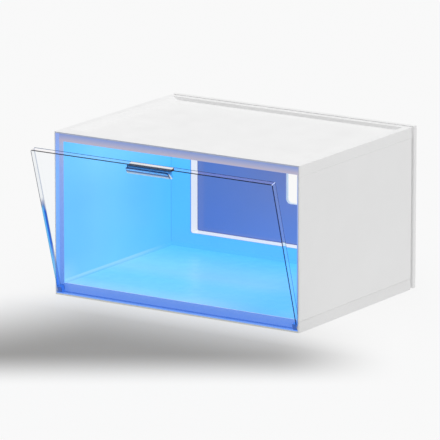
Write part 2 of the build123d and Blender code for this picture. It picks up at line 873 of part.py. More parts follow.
with BuildPart() as hinge_screws:
    for side in (-1, 1):
        for y in hinge_screw_y:
            rod(
                (side * (hinge_boss_x[0] - hinge_head_height), y, hinge_screw_z),
                hinge_head_radius,
                hinge_head_height,
                (side, 0, 0),
            )
            rod(
                (side * hinge_boss_x[0], y, hinge_screw_z),
                hinge_screw_radius,
                cavity_half - hinge_boss_x[0],
                (side, 0, 0),
            )
hinge_screws.part.label = "hinge_screws"
export_step(hinge_screws.part, "parts/hinge_screws.step")

# ---------------------------------------------------------------- magnetic catch and door sensor
magnet_z = (ceiling_liner_z + 0.2, cap_cavity_z - 0.4)
magnet_spacing = 36.0
magnet_length = 20.0
magnet_depth = 4.0
sensor_x = (44.0, 58.0)
sensor_depth = 5.0
with BuildPart() as catch_magnets:
    for side in (-1, 1):
        magnet_left = (side * magnet_spacing - magnet_length) / 2
        slab(
            (magnet_left, magnet_left + magnet_length),
            (cavity_front_y, cavity_front_y + magnet_depth),
            magnet_z,
        )
catch_magnets.part.label = "catch_magnets"
export_step(catch_magnets.part, "parts/catch_magnets.step")

with BuildPart() as door_sensor:
    slab(sensor_x, (cavity_front_y, cavity_front_y + sensor_depth), magnet_z)
door_sensor.part.label = "door_sensor"
export_step(door_sensor.part, "parts/door_sensor.step")

# ---------------------------------------------------------------- fasteners and feet
with BuildPart() as ceiling_screws:
    for x, y in cap_boss_spots:
        rod((x, y, ceiling_z - head_height), head_radius, head_height, (0, 0, 1))
        rod((x, y, ceiling_z), screw_radius, screw_length, (0, 0, 1))
ceiling_screws.part.label = "ceiling_screws"
export_step(ceiling_screws.part, "parts/ceiling_screws.step")

base_head_top_z = head_height + head_clearance
base_screw_length = floor_liner_z + base_screw_reach + head_clearance - base_head_top_z
with BuildPart() as base_screws:
    for x, y in base_boss_spots:
        rod((x, y, head_clearance), head_radius, head_height, (0, 0, 1))
        rod((x, y, base_head_top_z), screw_radius, base_screw_length, (0, 0, 1))
base_screws.part.label = "base_screws"
export_step(base_screws.part, "parts/base_screws.step")

cover_head_y = cover_back_y - head_recess
cover_shank_y = cover_head_y - head_height
with BuildPart() as cover_screws:
    for x, z in cover_screw_spots:
        rod((x, cover_head_y, z), head_radius, head_height, (0, -1, 0))
        rod((x, cover_shank_y, z), screw_radius, cover_shank_y - cavity_back_y, (0, -1, 0))
cover_screws.part.label = "cover_screws"
export_step(cover_screws.part, "parts/cover_screws.step")

with BuildPart() as base_pads:
    for x, y in foot_spots:
        rod((x, y, 0), foot_radius, foot_thickness, (0, 0, 1))
base_pads.part.label = "base_pads"
export_step(base_pads.part, "parts/base_pads.step")

# ---------------------------------------------------------------- door
# Local frame of the door: x is +X, y runs up the door from the hinge axis, z points out of its front.
lean = radians(door_angle)
door_plane = Plane(
    origin=(0, hinge_y, hinge_height),
    x_dir=(1, 0, 0),
    z_dir=(0, -cos(lean), -sin(lean)),
)
# Side view of the door: local x points out of its front and local y runs up the door.
door_side = Plane(
    origin=(0, hinge_y, hinge_height),
    x_dir=(0, -cos(lean), -sin(lean)),
    z_dir=(-1, 0, 0),
)
half_thickness = door_thickness / 2
block_width = 6.0
block_height = 5.5
strip_length = 62.0
strip_width = 5.6
strip_depth = 3.0
door_corner_radius = 2.0

with BuildPart() as door_panel:
    with BuildSketch(door_side):
        with Locations((0, door_length / 2)):
            Rectangle(door_thickness, door_length)
        Circle(half_thickness)
    extrude(amount=door_half, both=True)
    across_thickness = Axis(door_side.origin, door_side.x_dir)
    top_corners = door_panel.edges().filter_by(GeomType.LINE).filter_by(across_thickness)
    fillet(top_corners, door_corner_radius)
    # seats of the two pivot blocks and of the catch strip
    seat_x = door_half - block_width / 2
    seat_y = (block_height - half_thickness) / 2
    with BuildSketch(door_plane.offset(-half_thickness)):
        with Locations((-seat_x, seat_y), (seat_x, seat_y)):
            Rectangle(block_width, block_height + half_thickness)
    extrude(amount=door_thickness, mode=Mode.SUBTRACT)
    with BuildSketch(door_plane.offset(-strip_width / 2)):
        with Locations((0, door_length - strip_depth / 2)):
            Rectangle(strip_length, strip_depth)
    extrude(amount=strip_width, mode=Mode.SUBTRACT)
door_panel.part.label = "door_panel"
export_step(door_panel.part, "parts/door_panel.step")

with BuildPart() as strike_strip:
    with BuildSketch(door_plane.offset(-strip_width / 2)):
        with Locations((0, door_length - strip_depth / 2)):
            Rectangle(strip_length, strip_depth)
    extrude(amount=strip_width)
strike_strip.part.label = "strike_strip"
export_step(strike_strip.part, "parts/strike_strip.step")

pin_end_gap = 0.2
for name, side in sides:
    with BuildPart() as pivot_block:
        block_inner_x = side * (door_half - block_width)
        with BuildSketch(door_side.offset(-block_inner_x)):
            with Locations((0, block_height / 2)):
                Rectangle(door_thickness, block_height)
            Circle(half_thickness)
        extrude(amount=-side * (block_outer_x - door_half + block_width))
        rod(
            (side * (pin_inner_x - pin_end_gap), hinge_y, hinge_height),
            hinge_pin_radius + running_clearance,
            block_outer_x - pin_inner_x + pin_end_gap,
            (side, 0, 0),
            Mode.SUBTRACT,
        )
    pivot_block.part.label = f"pivot_block_{name}"
    export_step(pivot_block.part, f"parts/pivot_block_{name}.step")

# hooked pull: a back plate, a finger channel and a lip that leans forward
pull_face = half_thickness  # the pull is bonded to the front of the door
pull_top = door_length
pull_tip = pull_face + pull_reach
pull_foot = pull_top - pull_height
plate_thickness = 2.2
lip_thickness = 1.4
lip_corner = 4.5
channel_x = (pull_face + 3.0, pull_face + 3.9, pull_face + 4.9)
channel_y = (pull_top - 3.4, pull_top - 4.5, pull_top - 3.6)
lip_bow = (pull_face + 6.0, pull_top - 4.2)
lip_root = (pull_face + 4.9, pull_top - 8.4)
heel_bow = (pull_face + 4.0, pull_top - 10.2)
heel_end = (pull_face + 2.4, pull_foot)
with BuildPart() as door_pull:
    with BuildSketch(door_side):
        with BuildLine():
            back = Line((pull_face, pull_foot), (pull_face, pull_top))
            rim = Line(back @ 1, (pull_face + plate_thickness, pull_top))
            throat = Line(rim @ 1, (channel_x[0], channel_y[0]))
            channel = ThreePointArc(
                throat @ 1,
                (channel_x[1], channel_y[1]),
                (channel_x[2], channel_y[2]),
            )
            lip_inside = Line(channel @ 1, (pull_tip - lip_thickness, pull_top))
            lip_edge = Line(lip_inside @ 1, (pull_tip, pull_top))
            lip_outside = ThreePointArc(lip_edge @ 1, lip_bow, lip_root)
            heel = ThreePointArc(lip_outside @ 1, heel_bow, heel_end)
            Line(heel @ 1, back @ 0)
        make_face()
    extrude(amount=pull_width / 2, both=True)
    # rounded upper corners of the lip
    with BuildSketch(door_plane.offset(channel_x[1])):
        for side in (-1, 1):
            with Locations((side * (pull_width - lip_corner) / 2, pull_top - lip_corner / 2)):
                Rectangle(lip_corner, lip_corner)
            with Locations((side * (pull_width / 2 - lip_corner), pull_top - lip_corner)):
                Circle(lip_corner, mode=Mode.SUBTRACT)
    extrude(amount=pull_reach, mode=Mode.SUBTRACT)
door_pull.part.label = "door_pull"
export_step(door_pull.part, "parts/door_pull.step")
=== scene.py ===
"""UV sterilizer cabinet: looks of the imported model, its studio and its camera. Metres, in the row frame."""

import json
from math import cos, radians, sin, tau

import bmesh
import bpy
from mathutils import Matrix, Vector


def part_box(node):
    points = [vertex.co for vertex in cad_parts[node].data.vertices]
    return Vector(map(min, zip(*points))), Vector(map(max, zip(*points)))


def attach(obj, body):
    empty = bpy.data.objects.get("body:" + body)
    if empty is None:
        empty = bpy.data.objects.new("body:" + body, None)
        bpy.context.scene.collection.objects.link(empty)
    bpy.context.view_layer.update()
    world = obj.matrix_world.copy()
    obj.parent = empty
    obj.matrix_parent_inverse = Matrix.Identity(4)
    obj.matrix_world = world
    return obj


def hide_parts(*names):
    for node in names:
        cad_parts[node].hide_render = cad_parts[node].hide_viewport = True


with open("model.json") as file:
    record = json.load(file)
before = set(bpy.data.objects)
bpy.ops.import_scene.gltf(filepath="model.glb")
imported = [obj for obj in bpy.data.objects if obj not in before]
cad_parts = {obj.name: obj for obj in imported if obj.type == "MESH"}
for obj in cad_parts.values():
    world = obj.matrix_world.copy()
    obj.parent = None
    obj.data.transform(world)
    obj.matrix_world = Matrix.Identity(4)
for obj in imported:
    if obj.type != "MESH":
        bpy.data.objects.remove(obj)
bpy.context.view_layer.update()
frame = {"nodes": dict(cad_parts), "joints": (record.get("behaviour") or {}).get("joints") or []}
nodes = frame["nodes"]

MM = 0.001

# ---------------------------------------------------------------- places taken from the frame
front_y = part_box("top_cap")[0].y
frame_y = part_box("side_liner_left")[0].y
chamber_back_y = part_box("side_liner_left")[1].y
chamber_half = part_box("side_liner_right")[0].x
cavity_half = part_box("side_panel_right")[0].x
floor_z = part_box("bottom_pan")[1].z
window_flange = 5.0 * MM
window_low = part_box("window_surround")[0] + Vector((window_flange, 0, window_flange))
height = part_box("rear_cover")[1].z
recess_lip = 2.0 * MM
skin_depth = 0.05 * MM  # how far a mask reaches past a surface

door_joint = next(joint for joint in frame["joints"] if joint["name"] == "door_hinge")
hinge = Vector(door_joint["pos_m"])
door_angle = radians(16.54)
door_out = Vector((0, -cos(door_angle), -sin(door_angle)))
door_up = Vector((0, -sin(door_angle), cos(door_angle)))
door_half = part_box("door_panel")[1].x
door_length = 198.3 * MM  # hinge axis to the top edge
half_thickness = 3.75 * MM
pull_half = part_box("door_pull")[1].x
knuckle_top = 6.3 * MM  # above the hinge axis


# ---------------------------------------------------------------- material tools
def display(red, green, blue):
    """A display colour, 0 to 255 a channel, as the linear colour that a socket takes."""
    channels = []
    for value in (red / 255, green / 255, blue / 255):
        channels.append(value / 12.92 if value <= 0.04045 else ((value + 0.055) / 1.055) ** 2.4)
    return (*channels, 1.0)


def grey(level):
    """A plain share from 0 to 1, as a colour."""
    return (level, level, level, 1.0)


BLACK = grey(0.0)
backdrop = display(248, 248, 248)


class Look:
    """A procedural material: one Principled shader, and short ways to feed its sockets."""

    def __init__(self, name, colour, roughness, ior=1.49):
        self.material = bpy.data.materials.new(name)
        self.material.use_nodes = True
        self.tree = self.material.node_tree
        self.shader = self.tree.nodes["Principled BSDF"]
        self.shader.inputs["Base Color"].default_value = colour
        self.shader.inputs["Roughness"].default_value = roughness
        self.shader.inputs["IOR"].default_value = ior
        self.place = self.tree.nodes.new("ShaderNodeTexCoord").outputs["Object"]
        split = self.tree.nodes.new("ShaderNodeSeparateXYZ")
        self.tree.links.new(self.place, split.inputs["Vector"])
        self.x, self.y, self.z = split.outputs

    def feed(self, socket, source):
        """Link an output to a socket, or set the socket to a plain value."""
        if isinstance(source, bpy.types.NodeSocket):
            self.tree.links.new(source, socket)
        else:
            socket.default_value = source

    def set(self, socket_name, source):
        self.feed(self.shader.inputs[socket_name], source)

    def math(self, operation, first, second=0.0):
        node = self.tree.nodes.new("ShaderNodeMath")
        node.operation = operation
        self.feed(node.inputs[0], first)
        self.feed(node.inputs[1], second)
        return node.outputs[0]

    def between(self, source, low, high):
        """1 where the source lies between two values, else 0."""
        above = self.math("GREATER_THAN", source, low)
        below = self.math("LESS_THAN", source, high)
        return self.math("MULTIPLY", above, below)

    def spread(self, source, low, high, to_low=0.0, to_high=1.0, smooth=False):
        """The source mapped from one range to another and kept inside it."""
        node = self.tree.nodes.new("ShaderNodeMapRange")
        node.interpolation_type = "SMOOTHSTEP" if smooth else "LINEAR"
        self.feed(node.inputs["Value"], source)
        for socket_name, value in zip(
            ("From Min", "From Max", "To Min", "To Max"), (low, high, to_low, to_high)
        ):
            node.inputs[socket_name].default_value = value
        return node.outputs["Result"]

    def along(self, source, stops):
        """A colour that follows the source: stops are (value, colour), lowest value first."""
        first, last = stops[0][0], stops[-1][0]
        node = self.tree.nodes.new("ShaderNodeValToRGB")
        self.feed(node.inputs["Fac"], self.spread(source, first, last))
        points = node.color_ramp.elements
        while len(points) < len(stops):
            points.new(1.0)
        for point, (value, colour) in zip(points, stops):
            point.position = (value - first) / (last - first)
            point.color = colour
        return node.outputs["Color"]

    def mix(self, factor, first, second, blend="MIX"):
        node = self.tree.nodes.new("ShaderNodeMix")
        node.data_type = "RGBA"
        node.blend_type = blend
        self.feed(node.inputs["Factor"], factor)
        self.feed(node.inputs["A"], first)
        self.feed(node.inputs["B"], second)
        return node.outputs["Result"]

    def noise(self, scale, detail=3.0, stretch=None):
        """Soft noise over the object's own space; stretch scales it along each axis."""
        node = self.tree.nodes.new("ShaderNodeTexNoise")
        node.inputs["Scale"].default_value = scale
        node.inputs["Detail"].default_value = detail
        place = self.place
        if stretch:
            mapping = self.tree.nodes.new("ShaderNodeMapping")
            mapping.inputs["Scale"].default_value = stretch
            self.tree.links.new(place, mapping.inputs["Vector"])
            place = mapping.outputs["Vector"]
        self.tree.links.new(place, node.inputs["Vector"])
        return node.outputs["Fac"]

    def dapple(self, colour, darkest, scale=30.0):
        """The colour, darkened here and there down to a share of itself."""
        dimmed = tuple(value * darkest for value in colour[:3]) + (1.0,)
        return self.mix(self.spread(self.noise(scale), 0.35, 0.65), dimmed, colour)

    def uneven_gloss(self, low, high, scale=60.0, stretch=None):
        self.set("Roughness", self.spread(self.noise(scale, 4.0, stretch), 0.3, 0.7, low, high))

    def grain(self, scale, depth, detail=2.0, stretch=None, strength=1.0):
        """A fine raised texture, depth metres deep."""
        self.relief(self.noise(scale, detail, stretch), depth, strength)

    def relief(self, level, depth, strength=1.0):
        node = self.tree.nodes.new("ShaderNodeBump")
        node.inputs["Strength"].default_value = strength
        node.inputs["Distance"].default_value = depth
        self.feed(node.inputs["Height"], level)
        self.set("Normal", node.outputs["Normal"])

    def glow(self, colour, strength=1.0):
        self.set("Emission Color", colour)
        self.shader.inputs["Emission Strength"].default_value = strength


def dress(look, *names):
    """Give CAD nodes a material."""
    for name in names:
        slots = nodes[name].data.materials
        slots.clear()
        slots.append(look.material)


# ---------------------------------------------------------------- shell: white moulded plastic
lamp_share = 0.85  # strength of the light painted into the lit surfaces


def frame_glow(look):
    """Lavender light on the face that the door closes against, bluer towards the floor."""
    return look.along(
        look.z,
        [
            (2 * MM, display(74, 128, 220)),
            (12 * MM, display(88, 138, 224)),
            (50 * MM, display(107, 150, 230)),
            (110 * MM, display(124, 160, 230)),
            (160 * MM, display(146, 167, 222)),
            (190 * MM, display(170, 182, 212)),
            (196 * MM, display(186, 176, 184)),
            (201 * MM, display(152, 162, 197)),
            (206 * MM, display(112, 139, 196)),
        ],
    )


def recess_mask(look):
    """1 on the surfaces of the recess that the door closes into."""
    across = look.between(look.x, -cavity_half - skin_depth, cavity_half + skin_depth)
    upright = look.between(look.z, recess_lip - skin_depth, height - recess_lip + skin_depth)
    deep = look.math("LESS_THAN", look.y, frame_y + skin_depth)
    return look.math("MULTIPLY", look.math("MULTIPLY", across, upright), deep)


def recess_light(look):
    """Colour of the light in the recess: strong blue on its narrow walls, lavender on its face."""
    on_face = look.math("GREATER_THAN", look.y, frame_y - skin_depth)
    walls = look.along(
        look.z,
        [
            (0.0, display(116, 158, 226)),
            (12 * MM, display(104, 158, 238)),
            (60 * MM, display(112, 174, 250)),
            (160 * MM, display(128, 184, 250)),
            (height, display(150, 170, 226)),
        ],
    )
    return look.mix(on_face, walls, frame_glow(look))


def shell_look(name, level):
    """White moulded plastic, lit blue in the recess for the door, with a shaded rim round the front."""
    look = Look(name, display(240, 240, 240), 0.42)
    lit = recess_mask(look)
    on_rim = look.math("LESS_THAN", look.y, front_y + skin_depth)
    plain = look.dapple(display(level, level, level), 0.985, scale=14.0)
    rim_stops = [
        (0.0, display(216, 219, 214)),
        (0.01, display(206, 210, 214)),
        (0.195, display(206, 210, 214)),
        (height, display(186, 194, 216)),
    ]
    plain = look.mix(on_rim, plain, look.along(look.z, rim_stops))
    look.set("Base Color", look.mix(lit, plain, display(70, 84, 130)))
    look.uneven_gloss(0.36, 0.5, scale=45.0)
    look.grain(1400.0, 0.03 * MM, strength=0.35)
    look.glow(look.mix(lit, BLACK, recess_light(look)), lamp_share)
    return look


# ---------------------------------------------------------------- chamber liners, lit from above
def lit_colour(look, stops):
    """Painted light that changes from the front to the back: stops are (millimetres, display colour)."""
    return look.along(look.y, [(depth * MM, display(*colour)) for depth, colour in stops])


def liner_painted_light(look, chamber):
    """The liner's base colour, gloss and grain, with the chamber's light painted in as a glow, and the
    frame's lavender light painted on the face towards the door.
    """
    cloud = look.spread(look.noise(9.0, 2.0), 0.3, 0.7, 0.96, 1.02)
    shaded = look.mix(1.0, chamber, cloud, "MULTIPLY")
    on_face = look.math("LESS_THAN", look.y, frame_y + skin_depth)
    look.set("Base Color", look.mix(on_face, look.dapple(display(70, 112, 160), 0.93), display(66, 78, 116)))
    look.glow(look.mix(on_face, shaded, frame_glow(look)), lamp_share)
    look.uneven_gloss(0.3, 0.42)
    look.grain(1100.0, 0.03 * MM, strength=0.3)
    return look


def wall_look():
    look = Look("liner_wall", display(70, 112, 160), 0.35)
    middle = lit_colour(
        look,
        [
            (-128, (100, 190, 254)),
            (-100, (102, 192, 254)),
            (-60, (111, 198, 255)),
            (-15, (109, 201, 255)),
            (60, (92, 193, 254)),
            (113, (80, 188, 253)),
        ],
    )
    high = lit_colour(
        look,
        [
            (-128, (106, 200, 254)),
            (-90, (116, 206, 254)),
            (-60, (126, 212, 254)),
            (60, (124, 211, 253)),
            (113, (114, 206, 254)),
        ],
    )
    low = lit_colour(
        look,
        [(-128, (136, 206, 254)), (-95, (112, 199, 254)), (-20, (110, 202, 255)), (113, (84, 186, 252))],
    )
    chamber = look.mix(look.spread(look.z, 105 * MM, 175 * MM, smooth=True), middle, high)
    chamber = look.mix(look.spread(look.z, 50 * MM, 20 * MM, smooth=True), chamber, low)
    # thin shaded line up the back corners
    corner_line = 1.6 * MM
    outward = look.math("GREATER_THAN", look.math("ABSOLUTE", look.x), chamber_half - skin_depth)
    by_back = look.math("GREATER_THAN", look.y, chamber_back_y - corner_line)
    in_corner = look.math("MULTIPLY", outward, by_back)
    chamber = look.mix(in_corner, chamber, display(78, 170, 228))
    # the cut edge round the window is a darker blue line of painted shade
    cut_edge = look.math("GREATER_THAN", look.y, chamber_back_y + skin_depth)
    return liner_painted_light(look, look.mix(cut_edge, chamber, display(84, 152, 222)))


def ground_look():
    look = Look("liner_floor", display(70, 112, 160), 0.35)
    middle = lit_colour(
        look,
        [
            (-128, (144, 199, 250)),
            (-90, (115, 197, 253)),
            (-50, (111, 200, 253)),
            (-10, (132, 204, 254)),
            (30, (123, 204, 254)),
            (70, (102, 195, 253)),
            (113, (81, 187, 251)),
        ],
    )
    # the painted light is darker towards the right wall, as painted shade from it
    right = lit_colour(look, [(-128, (98, 182, 246)), (-90, (88, 190, 252)), (113, (80, 188, 252))])
    level = look.mix(look.spread(look.x, 30 * MM, 130 * MM, smooth=True), middle, right)
    # the cove carries a paler painted highlight, which fades towards the back wall
    cove_low, cove_high = floor_z + 0.6 * MM, floor_z + 2.4 * MM
    raised = look.spread(look.z, cove_low, cove_high)
    cove = look.math("MULTIPLY", raised, look.spread(look.y, 0.0, 104 * MM, 1.0, 0.0, smooth=True))
    return liner_painted_light(look, look.mix(cove, level, display(150, 218, 255)))


def surround_look():
    look = Look("surround_white", display(236, 236, 238), 0.38)
    look.set("Base Color", look.dapple(display(150, 152, 156), 0.96))
    look.uneven_gloss(0.32, 0.46)
    look.grain(1200.0, 0.02 * MM, strength=0.3)
    # the surround's white is mostly painted light: a glow over a grey base
    look.glow(display(228, 226, 220), 0.9)
    return look


def screen_look():
    look = Look("screen_blue", display(30, 44, 100), 0.2)
    # the chamber's blue light painted on the sheet as a glow, changing across it and from low to high
    left, middle = -120 * MM, -20 * MM
    low = look.along(look.x, [(left, display(82, 122, 202)), (middle, display(94, 134, 214))])
    high = look.along(look.x, [(left, display(90, 122, 190)), (middle, display(106, 126, 180))])
    glow = look.mix(look.spread(look.z, 30 * MM, 120 * MM), low, high)
    # a line of painted shade where the sheet meets the surround
    edge_width = 1.2 * MM
    by_left = look.math("LESS_THAN", look.x, window_low.x + edge_width)
    by_sill = look.math("LESS_THAN", look.z, window_low.z + edge_width)
    glow = look.mix(look.math("MAXIMUM", by_left, by_sill), glow, display(92, 108, 166))
    look.set("Base Color", look.dapple(display(30, 40, 96), 0.85, scale=18.0))
    look.glow(glow, lamp_share)
    look.uneven_gloss(0.16, 0.26)
    look.grain(700.0, 0.01 * MM, strength=0.2)
    return look


shell_nodes = ("top_cap", "side_panel_left", "side_panel_right", "rear_frame", "rear_cover")
dress(shell_look("shell_white", 241), *shell_nodes)
# the base's skirt is a shade darker than the panels above it
dress(shell_look("shell_white_base", 237), "bottom_pan")
dress(wall_look(), "side_liner_left", "side_liner_right", "back_liner", "ceiling_liner")
dress(ground_look(), "floor_liner")
dress(surround_look(), "window_surround")
dress(screen_look(), "rear_screen")


# ---------------------------------------------------------------- door: clear acrylic with polished edges
def door_place(look):
    """Where a point lies on the door: across it, up it from the hinge, and out of its front."""
    places = [look.x]
    for direction in (door_up, door_out):
        node = look.tree.nodes.new("ShaderNodeVectorMath")
        node.operation = "DOT_PRODUCT"
        look.tree.links.new(look.place, node.inputs[0])
        node.inputs[1].default_value = direction
        places.append(look.math("SUBTRACT", node.outputs["Value"], hinge.dot(direction)))
    return places


def tint(red, green, blue):
    """Base colour of clear plastic that turns the pale backdrop into this display colour."""
    return (*((value / backdrop[0]) ** 2 for value in display(red, green, blue)[:3]), 1.0)


CLEAR = tint(246, 247, 248)


def clear_plastic(name):
    """Clear plastic that hardly bends the view, so the chamber shows through it in place."""
    look = Look(name, CLEAR, 0.02, ior=1.003)
    look.set("Transmission Weight", 1.0)
    look.set("Coat Weight", 0.3)
    look.set("Coat Roughness", 0.03)
    look.uneven_gloss(0.0, 0.03, scale=20.0)
    return look


def acrylic_look():
    """Clear acrylic with thin dark and pale lines painted along its edges in place of the refraction seen in
    them, and chamber light painted into its sides.
    """
    look = clear_plastic("acrylic_clear")
    across, up, out = door_place(look)
    front = look.math("GREATER_THAN", out, 0.0)
    side_distance = look.math("SUBTRACT", door_half, look.math("ABSOLUTE", across))
    top_distance = look.math("SUBTRACT", door_length, up)
    foot_distance = look.math("ADD", up, half_thickness)
    face_distance = look.math("SUBTRACT", half_thickness, look.math("ABSOLUTE", out))
    line_width = 0.9 * MM
    by_side, by_top, by_foot, by_face = (
        look.math("LESS_THAN", distance, line_width)
        for distance in (side_distance, top_distance, foot_distance, face_distance)
    )
    level = look.math("MAXIMUM", look.math("MULTIPLY", by_top, by_face), by_foot)
    upright = look.math("MULTIPLY", by_side, by_face)
    corner = look.math("MULTIPLY", by_side, by_top)
    left = look.math("LESS_THAN", across, 0.0)
    at_foot = look.math("LESS_THAN", up, door_length / 2)
    # painted lines along the top and the foot, in place of their refraction: dark at the top, pale at the
    # foot
    level_front = look.mix(at_foot, tint(76, 74, 76), tint(232, 237, 246))
    level_rear = look.mix(at_foot, tint(150, 168, 186), tint(200, 212, 232))
    level_tint = look.mix(front, level_rear, level_front)
    low_down = look.spread(up, 124 * MM, 112 * MM, smooth=True)
    # painted lines up the sides: dark at the right front, grey on the left and bluer low down
    left_front = look.mix(low_down, tint(158, 160, 166), tint(166, 206, 228))
    upright_front = look.mix(left, tint(84, 92, 112), left_front)
    upright_tint = look.mix(front, tint(196, 202, 214), upright_front)
    # the top corners: a painted dark line on the left, a painted highlight on the right
    corner_tint = look.mix(left, tint(252, 252, 252), tint(60, 58, 60))
    # the left side carries the chamber's blue light below the middle, the right side stays clear
    side_stops = [
        (0, (190, 212, 246)),
        (34, (140, 184, 238)),
        (67, (98, 152, 229)),
        (112, (70, 112, 210)),
        (118, (94, 114, 182)),
        (124, (172, 180, 204)),
        (130, (240, 242, 243)),
    ]
    caught = look.along(up, [(place * MM, tint(*colour)) for place, colour in side_stops])
    forwards = look.spread(out, -half_thickness, half_thickness, smooth=True)
    caught = look.mix(look.math("MULTIPLY", forwards, low_down), caught, tint(112, 196, 244))
    on_side = look.math("LESS_THAN", side_distance, skin_depth)
    right_side = look.mix(low_down, tint(240, 242, 248), tint(206, 230, 248))
    colour = look.mix(on_side, CLEAR, look.mix(left, right_side, caught))
    # the left side's light also shows through the front face beside it
    beside_stops = [
        (1.5, (246, 247, 248)),
        (2.6, (163, 214, 248)),
        (3.6, (98, 156, 235)),
        (6.4, (98, 141, 210)),
    ]
    beside_reach = beside_stops[-1][0] * MM
    beside_colour = look.along(side_distance, [(place * MM, tint(*colour)) for place, colour in beside_stops])
    on_front = look.math("GREATER_THAN", out, half_thickness - skin_depth)
    beside = look.math("MULTIPLY", look.math("LESS_THAN", side_distance, beside_reach), low_down)
    beside = look.math("MULTIPLY", look.math("MULTIPLY", beside, left), on_front)
    beside = look.math("MULTIPLY", beside, look.spread(up, 30 * MM, 67 * MM))
    colour = look.mix(beside, colour, beside_colour)
    colour = look.mix(upright, colour, upright_tint)
    colour = look.mix(level, colour, level_tint)
    colour = look.mix(corner, colour, corner_tint)
    look.set("Base Color", colour)
    # painted light: a little glow on the right side and the top, and a painted highlight down the right
    # corner
    on_right = look.math("SUBTRACT", 1.0, left)
    scattered = look.mix(low_down, (0.03, 0.03, 0.0, 1.0), (0.045, 0.075, 0.0, 1.0))
    scattered = look.mix(look.math("MULTIPLY", on_side, on_right), BLACK, scattered)
    on_top = look.math("LESS_THAN", top_distance, skin_depth)
    scattered = look.mix(on_top, scattered, (0.035, 0.0, 0.0, 1.0))
    lines = look.math("MAXIMUM", upright, level)
    scattered = look.mix(lines, scattered, BLACK)
    look.glow(look.mix(look.math("MULTIPLY", corner, on_right), scattered, display(205, 208, 214)))
    return look


def pull_look():
    """The same acrylic, with the chamber's blue light painted into the hook's bends, painted dark lines along
    its outline, and painted highlights along its bottom and right end.
    """
    look = clear_plastic("acrylic_pull")
    across, up, out = door_place(look)
    below_top = look.math("SUBTRACT", door_length, up)
    forward = look.math("SUBTRACT", out, half_thickness)
    # the lip's outer face slopes, so the mask for it follows the slope
    lip_slope, lip_reach = 0.55, 7.3 * MM
    sloped = look.math("ADD", forward, look.math("MULTIPLY", below_top, lip_slope))
    outer = look.math("GREATER_THAN", sloped, lip_reach)
    # distance in from the lip's rounded outline
    corner = 4.5 * MM
    from_middle = look.math("ABSOLUTE", across)
    past_side = look.math("MAXIMUM", look.math("SUBTRACT", from_middle, pull_half - corner), 0.0)
    past_top = look.math("MAXIMUM", look.math("SUBTRACT", corner, below_top), 0.0)
    side_squared = look.math("MULTIPLY", past_side, past_side)
    top_squared = look.math("MULTIPLY", past_top, past_top)
    reach = look.math("SQRT", look.math("ADD", side_squared, top_squared))
    inwards = look.math("SUBTRACT", corner, reach)
    on_right = look.math("GREATER_THAN", across, 0.0)
    outline_width, top_line_width, rim_width = 2.0 * MM, 2.6 * MM, 0.8 * MM
    by_outline = look.math("LESS_THAN", inwards, outline_width)
    high_up = look.math("LESS_THAN", below_top, top_line_width)
    outline = look.math("MULTIPLY", by_outline, look.math("MAXIMUM", on_right, high_up))
    # painted light down the lip's front: blue at the top, a dark line below the middle, and a painted
    # highlight along the bottom
    front_stops = [
        (0.0, (70, 140, 210)),
        (1.7, (96, 168, 236)),
        (3.4, (176, 226, 250)),
        (4.8, (196, 222, 246)),
        (5.6, (112, 118, 150)),
        (7.0, (118, 128, 164)),
        (8.0, (220, 240, 252)),
        (11.3, (240, 250, 255)),
    ]
    front = look.along(below_top, [(depth * MM, display(*colour)) for depth, colour in front_stops])
    # a painted highlight down the right end, outside the painted dark line
    rim = look.math("MULTIPLY", look.math("LESS_THAN", inwards, rim_width), on_right)
    rim = look.math("MULTIPLY", rim, look.math("SUBTRACT", 1.0, high_up))
    front = look.mix(outline, front, look.mix(rim, display(16, 66, 128), display(240, 248, 252)))
    # the back plate's top and throat, dark where the strip's shade falls on them
    throat_stops = [
        (0.0, (60, 78, 104)),
        (1.0, (62, 108, 164)),
        (2.0, (92, 158, 220)),
        (4.6, (96, 170, 236)),
    ]
    throat = look.along(below_top, [(depth * MM, display(*colour)) for depth, colour in throat_stops])
    throat_front, throat_depth, end_width = 4.0 * MM, 4.7 * MM, 1.2 * MM
    in_throat = look.between(forward, skin_depth, throat_front)
    on_plate = look.math("MULTIPLY", in_throat, look.math("LESS_THAN", below_top, throat_depth))
    # the left end of the plate carries a painted dark line
    left_end = look.math("MULTIPLY", look.math("LESS_THAN", across, end_width - pull_half), on_plate)
    colour = look.mix(on_plate, CLEAR, throat)
    colour = look.mix(left_end, colour, display(40, 96, 150))
    look.set("Base Color", look.mix(outer, colour, front))
    # how much of what lies behind shows through each part of the pull
    clearness_stops = [(0.0, 0.25), (2.4, 0.7), (4.8, 0.8), (6.0, 0.2), (7.2, 0.3), (9.0, 0.15), (11.3, 0.1)]
    shown = look.along(below_top, [(depth * MM, grey(level)) for depth, level in clearness_stops])
    passes = look.mix(outer, look.mix(on_plate, grey(1.0), grey(0.2)), shown)
    passes = look.mix(look.math("MULTIPLY", outer, outline), passes, grey(0.05))
    look.set("Transmission Weight", passes)
    return look


def soften(node, width, limit=30):
    """A small bevel on a CAD node's sharp edges."""
    weld = node.modifiers.new("weld", "WELD")
    weld.merge_threshold = 0.005 * MM
    bevel = node.modifiers.new("bevel", "BEVEL")
    bevel.width = width
    bevel.segments = 2
    bevel.limit_method = "ANGLE"
    bevel.angle_limit = radians(limit)


dress(acrylic_look(), "door_panel")
dress(pull_look(), "door_pull")
for name in ("door_panel", "door_pull"):
    nodes[name].visible_shadow = False
soften(nodes["door_pull"], 0.2 * MM)


# ---------------------------------------------------------------- metal, rubber, black plastic, electronics
def metal_look(name, colour, low, high, stretch=None):
    look = Look(name, colour, low)
    look.set("Metallic", 1.0)
    look.set("Base Color", look.dapple(colour, 0.9, scale=120.0))
    look.uneven_gloss(low, high, scale=400.0, stretch=stretch)
    look.grain(2500.0, 0.01 * MM, stretch=stretch, strength=0.3)
    return look


